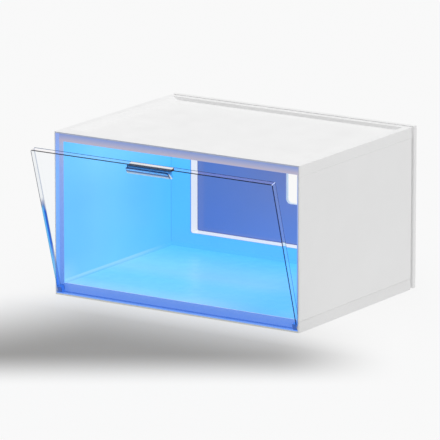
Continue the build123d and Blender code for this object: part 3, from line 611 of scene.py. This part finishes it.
def matt_look(name, colour, low, high, scale=900.0, depth=0.04 * MM, darkest=0.88):
    look = Look(name, colour, low)
    look.set("Base Color", look.dapple(colour, darkest, scale=80.0))
    look.uneven_gloss(low, high)
    look.grain(scale, depth, strength=0.6)
    return look


def knuckle_look():
    """Blue moulded knuckle, with the chamber's light painted in as a glow that is darker along its edges."""
    look = Look("hinge_block", display(40, 90, 170), 0.3)
    _, up, out = door_place(look)
    edge = 0.7 * MM
    rim = look.math("GREATER_THAN", look.math("ABSOLUTE", out), half_thickness - edge)
    top = look.math("GREATER_THAN", up, knuckle_top - edge)
    outline = look.math("MAXIMUM", rim, top)
    look.set("Base Color", look.dapple(display(40, 90, 170), 0.85, scale=150.0))
    look.glow(look.mix(outline, display(52, 116, 206), display(30, 62, 130)), 0.8)
    look.uneven_gloss(0.25, 0.4)
    look.grain(900.0, 0.02 * MM, strength=0.4)
    return look


def strip_look():
    """Brushed steel strip, darker where the pull's plate shades its front edge."""
    steel = display(232, 232, 234)
    look = metal_look("strip_steel", steel, 0.16, 0.3, (0.05, 1.0, 1.0))
    _, _, out = door_place(look)
    shaded = look.spread(out, 1.3 * MM, 1.9 * MM)
    look.set("Base Color", look.mix(shaded, look.dapple(steel, 0.94, scale=120.0), display(96, 102, 120)))
    return look


dress(strip_look(), "strike_strip")
dress(knuckle_look(), "pivot_block_left", "pivot_block_right")
dress(
    metal_look("hinge_steel", display(196, 198, 204), 0.25, 0.42, (1.0, 0.1, 1.0)),
    "hinge_plate_left", "hinge_plate_right", "hinge_pin_left", "hinge_pin_right",
)
dress(matt_look("washer_nylon", display(226, 224, 216), 0.35, 0.5), "hinge_washers")
dress(
    metal_look("screw_steel", display(188, 190, 194), 0.25, 0.4),
    "hinge_screws", "board_screws", "cover_screws", "base_screws", "ceiling_screws",
)
dress(metal_look("magnet_steel", display(150, 152, 156), 0.3, 0.45), "catch_magnets", "inlet_nut")
dress(metal_look("terminal_brass", display(214, 190, 120), 0.3, 0.4), "switch_terminals")
dress(matt_look("circuit_white", display(232, 234, 232), 0.4, 0.5), "uv_board_front", "uv_board_rear")
dress(matt_look("circuit_green", display(34, 96, 62), 0.35, 0.5), "driver_board")
dress(matt_look("component_black", display(36, 36, 40), 0.35, 0.55), "driver_components", "door_sensor")
dress(
    matt_look("cable_jacket", display(40, 40, 44), 0.45, 0.6),
    "lamp_cable", "row_link_cable", "supply_cable",
)
dress(matt_look("switch_black", display(30, 30, 33), 0.3, 0.45), "switch_body", "power_rocker")
dress(matt_look("inlet_black", display(28, 28, 31), 0.35, 0.5), "power_inlet")
dress(matt_look("pad_rubber", display(58, 58, 60), 0.7, 0.85, 500.0, 0.1 * MM), "base_pads")


def lamp_look(name, colour, strength):
    look = Look(name, colour, 0.25)
    look.set("Base Color", look.dapple(colour, 0.95, scale=40.0))
    look.glow(look.dapple(colour, 0.9, scale=25.0), strength)
    look.uneven_gloss(0.2, 0.32)
    return look


dress(lamp_look("uv_lens", display(150, 205, 255), 1.1), "uv_lens_front", "uv_lens_rear")
dress(lamp_look("uv_led", display(206, 190, 255), 2.0), "uv_leds_front", "uv_leds_rear")


# ---------------------------------------------------------------- screws, rocker marks and other small pieces
def island_boxes(node):
    """(low, high) corners of each separate solid of a CAD node."""
    mesh = bmesh.new()
    mesh.from_mesh(node.data)
    bmesh.ops.remove_doubles(mesh, verts=mesh.verts, dist=0.002 * MM)
    boxes = []
    seen = set()
    for first in mesh.verts:
        if first in seen:
            continue
        seen.add(first)
        island = [first]
        for vertex in island:
            for edge in vertex.link_edges:
                other = edge.other_vert(vertex)
                if other not in seen:
                    seen.add(other)
                    island.append(other)
        low = Vector(min(vertex.co[axis] for vertex in island) for axis in range(3))
        high = Vector(max(vertex.co[axis] for vertex in island) for axis in range(3))
        boxes.append((low, high))
    mesh.free()
    return boxes


def turned(profile, segments):
    """Points and faces of a closed solid of revolution about Z, from its axis to its axis."""
    points = [(0.0, 0.0, profile[0][1])]
    for radius, level in profile[1:-1]:
        for step in range(segments):
            angle = tau * step / segments
            points.append((radius * cos(angle), radius * sin(angle), level))
    points.append((0.0, 0.0, profile[-1][1]))
    faces = []
    last = len(points) - 1
    rings = len(profile) - 2
    for step in range(segments):
        after = (step + 1) % segments
        faces.append((0, 1 + step, 1 + after))
        for ring in range(rings - 1):
            here, below = 1 + ring * segments, 1 + (ring + 1) * segments
            faces.append((here + step, below + step, below + after, here + after))
        bottom = 1 + (rings - 1) * segments
        faces.append((bottom + step, last, bottom + after))
    return points, faces


def screw_mesh(head_radius, head_height, shank_radius, length):
    """A domed screw about Z with a cross recess, its head's top at 0 and its tip at -length."""
    thread_depth, pitch = 0.25 * MM, 0.8 * MM
    profile = [
        (0.0, 0.0),
        (0.45 * head_radius, -0.06 * head_height),
        (0.78 * head_radius, -0.24 * head_height),
        (0.95 * head_radius, -0.52 * head_height),
        (head_radius, -0.8 * head_height),
        (head_radius, -head_height),
        (shank_radius, -head_height),
    ]
    level = -head_height - pitch
    while level > -length + 2 * pitch:
        profile.append((shank_radius - thread_depth, level))
        profile.append((shank_radius, level - pitch / 2))
        level -= pitch
    profile += [(shank_radius - thread_depth, -length + pitch), (0.0, -length)]
    points, faces = turned(profile, segments=40)
    body = bpy.data.meshes.new("screw_body")
    body.from_pydata(points, [], faces)
    arm, half_slot = 0.62 * head_radius, 0.17 * head_radius
    cross = [
        (arm, -half_slot), (arm, half_slot), (half_slot, half_slot), (half_slot, arm),
        (-half_slot, arm), (-half_slot, half_slot), (-arm, half_slot), (-arm, -half_slot),
        (-half_slot, -half_slot), (-half_slot, -arm), (half_slot, -arm), (half_slot, -half_slot),
    ]
    depth, narrowing = 0.8 * head_height, 0.55
    lower = [(x * narrowing, y * narrowing, -depth) for x, y in cross]
    upper = [(x, y, head_height) for x, y in cross]
    count = len(cross)
    sides = [(k, (k + 1) % count, (k + 1) % count + count, k + count) for k in range(count)]
    cutter_mesh = bpy.data.meshes.new("screw_cutter")
    ends = [tuple(reversed(range(count))), tuple(range(count, 2 * count))]
    cutter_mesh.from_pydata(lower + upper, [], ends + sides)
    head = bpy.data.objects.new("screw_body", body)
    cutter = bpy.data.objects.new("screw_cutter", cutter_mesh)
    for thing in (head, cutter):
        bpy.context.scene.collection.objects.link(thing)
    recess = head.modifiers.new("recess", "BOOLEAN")
    recess.operation = "DIFFERENCE"
    recess.solver = "EXACT"
    recess.object = cutter
    cut = bpy.data.meshes.new_from_object(head.evaluated_get(bpy.context.evaluated_depsgraph_get()))
    points = [vertex.co.copy() for vertex in cut.vertices]
    faces = [tuple(face.vertices) for face in cut.polygons]
    for thing in (head, cutter):
        bpy.data.objects.remove(thing)
    for mesh in (body, cutter_mesh, cut):
        bpy.data.meshes.remove(mesh)
    return points, faces


def piece_from(name, points, faces, look, body):
    """A new mesh piece that rides on a body and belongs to a material slot."""
    mesh = bpy.data.meshes.new(name)
    mesh.from_pydata(points, [], faces)
    mesh.materials.append(look.material)
    mesh.update()
    piece = bpy.data.objects.new(name, mesh)
    bpy.context.scene.collection.objects.link(piece)
    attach(piece, body)
    return piece


def screws_for(node_name, facing, look):
    """Detailed screws in the places of a node's plain ones, their heads facing one way."""
    head_height, shank_radius = 1.4 * MM, 1.5 * MM
    spin_step = radians(37)  # so that the crosses don't line up
    facing = Vector(facing)
    turn = facing.to_track_quat("Z", "Y")
    axis = max(range(3), key=lambda k: abs(facing[k]))
    all_points, all_faces = [], []
    for index, (low, high) in enumerate(island_boxes(nodes[node_name])):
        if not all_points:
            across_axis = (axis + 1) % 3
            radius = (high[across_axis] - low[across_axis]) / 2
            points, faces = screw_mesh(radius, head_height, shank_radius, high[axis] - low[axis])
        top = (low + high) / 2
        top[axis] = high[axis] if facing[axis] > 0 else low[axis]
        spin = Matrix.Rotation(index * spin_step, 3, "Z")
        first = len(all_points)
        all_points += [top + turn @ (spin @ point) for point in points]
        all_faces += [tuple(first + corner for corner in face) for face in faces]
    piece = piece_from(node_name + "_detailed", all_points, all_faces, look, "cabinet")
    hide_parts(node_name)


screw_steel = metal_look("screw_steel_detailed", display(192, 194, 198), 0.22, 0.38)
screws_for("cover_screws", (0, 1, 0), screw_steel)
screws_for("base_screws", (0, 0, -1), screw_steel)
screws_for("ceiling_screws", (0, 0, -1), screw_steel)


def rocker_marks():
    """A raised bar and ring on the rocker: the usual on and off marks."""
    raised, sunk = 0.12 * MM, 0.1 * MM
    low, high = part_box("power_rocker")
    middle_x = (low.x + high.x) / 2
    places = [vertex.co for vertex in nodes["power_rocker"].data.vertices]
    near = 0.05 * MM
    upper_y = max(place.y for place in places if place.z > high.z - near)
    above = (low.z + high.z) / 2 - MM
    middle_z = min(place.z for place in places if abs(place.y - upper_y) < near and place.z > above)
    toe = max(places, key=lambda place: place.y)
    fall = Vector((0, toe.y - upper_y, toe.z - middle_z)).normalized()
    bar_centre = Vector((middle_x, upper_y, (middle_z + high.z) / 2))
    ring_centre = Vector((middle_x, (upper_y + toe.y) / 2, (middle_z + toe.z) / 2))
    points, faces = [], []

    def add_loop(inner, outer, centre, normal, upward):
        """A raised band between two outlines that have the same number of points."""
        sideways = upward.cross(normal)
        count = len(outer)
        first = len(points)
        for outline, level in ((outer, -sunk), (outer, raised), (inner, raised), (inner, -sunk)):
            for across, along in outline:
                points.append(centre + across * sideways + along * upward + level * normal)
        for ring in range(4):
            here, there = first + ring * count, first + (ring + 1) % 4 * count
            for k in range(count):
                after = (k + 1) % count
                faces.append((here + k, here + after, there + after, there + k))

    def round_outline(width, length, count=32):
        """An upright outline with round ends, or a circle when it is as wide as it is long."""
        radius = width / 2
        straight = length / 2 - radius
        outline = []
        for k in range(count):
            angle = tau * (k + 0.5) / count
            shift = straight if sin(angle) > 0 else -straight
            outline.append((radius * cos(angle), radius * sin(angle) + shift))
        return outline

    add_loop(
        round_outline(0.16 * MM, 2.9 * MM), round_outline(0.56 * MM, 3.4 * MM),
        bar_centre, Vector((0, 1, 0)), Vector((0, 0, 1)),
    )
    add_loop(
        round_outline(2.3 * MM, 2.3 * MM), round_outline(3.1 * MM, 3.1 * MM),
        ring_centre, Vector((0, -fall.z, fall.y)), -fall,
    )
    look = matt_look("mark_white", display(226, 228, 230), 0.35, 0.5)
    piece_from("rocker_marks", points, faces, look, "power_rocker")


rocker_marks()


# ---------------------------------------------------------------- studio
view_turn = radians(33.04)  # how far the camera stands round to the right of the front


def studio_floor():
    """A pale floor with a soft painted shadow in front of the cabinet."""
    mesh = bpy.data.meshes.new("studio_floor")
    half, level = 14.0, -0.2 * MM
    corners = [(-half, -half, level), (half, -half, level), (half, half, level), (-half, half, level)]
    mesh.from_pydata(corners, [], [(0, 1, 2, 3)])
    plane = bpy.data.objects.new("studio_floor", mesh)
    bpy.context.scene.collection.objects.link(plane)
    look = Look("studio_floor", display(240, 240, 240), 0.8)
    # places on the floor, turned by the view's angle: to the right, and nearer
    turn_cos, turn_sin = cos(view_turn), sin(view_turn)
    across_part, away_part = look.math("MULTIPLY", look.x, turn_cos), look.math("MULTIPLY", look.y, turn_sin)
    rightwards = look.math("ADD", across_part, away_part)
    across_part, away_part = look.math("MULTIPLY", look.x, turn_sin), look.math("MULTIPLY", look.y, turn_cos)
    nearer = look.math("SUBTRACT", across_part, away_part)
    # the painted shadow's far edge is a rounded corner, with its point in front of the cabinet's left half
    corner_left, edge_slope, corner_round, corner_near = 174 * MM, 0.67, 17.5 * MM, 77.5 * MM
    edge_softness, glow_reach, glow_share = 173 * MM, 60 * MM, 0.45
    slope = look.math("MULTIPLY", look.math("ADD", rightwards, corner_left), edge_slope)
    bend = look.math("SQRT", look.math("ADD", look.math("MULTIPLY", slope, slope), corner_round ** 2))
    past_edge = look.math("SUBTRACT", look.math("SUBTRACT", nearer, bend), corner_near)
    begins = look.spread(past_edge, -edge_softness, edge_softness, smooth=True)
    ends = look.spread(nearer, 300 * MM, 460 * MM, 1.0, 0.0, smooth=True)
    right = look.spread(rightwards, 40 * MM, 200 * MM, 1.0, 0.0, smooth=True)
    painted_shadow = look.math("MULTIPLY", look.math("MULTIPLY", begins, ends), right)
    # it fades near the cabinet's front, as painted light where the cabinet's glow reaches the floor
    near_front = look.spread(look.y, front_y - glow_reach, front_y, 0.0, glow_share)
    painted_shadow = look.math("MULTIPLY", painted_shadow, look.math("SUBTRACT", 1.0, near_front))
    tone = look.mix(painted_shadow, backdrop, display(156, 155, 154))
    look.set("Base Color", look.mix(1.0, tone, display(235, 235, 235), "MULTIPLY"))
    light = look.tree.nodes.new("ShaderNodeEmission")
    look.feed(light.inputs["Color"], tone)
    light.inputs["Strength"].default_value = 1.03
    blend = look.tree.nodes.new("ShaderNodeMixShader")
    blend.inputs["Fac"].default_value = 0.85
    output = look.tree.nodes["Material Output"]
    look.tree.links.new(look.shader.outputs["BSDF"], blend.inputs[1])
    look.tree.links.new(light.outputs["Emission"], blend.inputs[2])
    look.tree.links.new(blend.outputs["Shader"], output.inputs["Surface"])
    mesh.materials.append(look.material)


def studio_light():
    """A soft sky that lights the object, with an even backdrop for the camera and through the door."""
    world = bpy.data.worlds.new("studio")
    bpy.context.scene.world = world
    world.use_nodes = True
    tree = world.node_tree
    surface = tree.nodes["Background"]
    lamp = tree.nodes.new("ShaderNodeBackground")
    direction = tree.nodes.new("ShaderNodeTexCoord").outputs["Generated"]
    split = tree.nodes.new("ShaderNodeSeparateXYZ")
    tree.links.new(direction, split.inputs["Vector"])
    # bright overhead, dimmer at the horizon, where it is dimmest in front and brighter to the right
    overhead, all_round, darkest, brighter_way = 1.955, 0.06, 0.04, (0.12, 0.22, 0.0)
    lean = tree.nodes.new("ShaderNodeVectorMath")
    lean.operation = "DOT_PRODUCT"
    tree.links.new(direction, lean.inputs[0])
    lean.inputs[1].default_value = brighter_way
    horizon = tree.nodes.new("ShaderNodeMath")
    tree.links.new(lean.outputs["Value"], horizon.inputs[0])
    horizon.inputs[1].default_value = all_round
    rise = tree.nodes.new("ShaderNodeMapRange")
    tree.links.new(split.outputs["Z"], rise.inputs["Value"])
    tree.links.new(horizon.outputs[0], rise.inputs["To Min"])
    rise.inputs["To Max"].default_value = overhead
    lamp_level = tree.nodes.new("ShaderNodeMath")
    lamp_level.operation = "MAXIMUM"
    tree.links.new(rise.outputs["Result"], lamp_level.inputs[0])
    lamp_level.inputs[1].default_value = darkest
    tree.links.new(lamp_level.outputs[0], lamp.inputs["Strength"])
    surface.inputs["Color"].default_value = backdrop
    surface.inputs["Strength"].default_value = 1.0
    path = tree.nodes.new("ShaderNodeLightPath")
    seen = tree.nodes.new("ShaderNodeMath")
    seen.operation = "MAXIMUM"
    tree.links.new(path.outputs["Is Camera Ray"], seen.inputs[0])
    tree.links.new(path.outputs["Is Transmission Ray"], seen.inputs[1])
    blend = tree.nodes.new("ShaderNodeMixShader")
    tree.links.new(seen.outputs[0], blend.inputs["Fac"])
    tree.links.new(lamp.outputs["Background"], blend.inputs[1])
    tree.links.new(surface.outputs["Background"], blend.inputs[2])
    tree.links.new(blend.outputs["Shader"], tree.nodes["World Output"].inputs["Surface"])


def studio_camera():
    """A long lens, far off, at the front right and a little above."""
    data = bpy.data.cameras.new("camera")
    data.sensor_width = 36.0
    data.lens = 444.2
    data.clip_end = 100.0
    camera = bpy.data.objects.new("camera", data)
    bpy.context.scene.collection.objects.link(camera)
    elevation, distance = radians(13.33), 6.76
    aim = Vector((-11.9 * MM, -18.1 * MM, 92.9 * MM))
    away = Vector((sin(view_turn) * cos(elevation), -cos(view_turn) * cos(elevation), sin(elevation)))
    camera.location = aim + distance * away
    camera.rotation_euler = away.to_track_quat("Z", "Y").to_euler()
    bpy.context.scene.camera = camera


studio_floor()
studio_light()
studio_camera()
bpy.context.scene.view_settings.view_transform = "Standard"
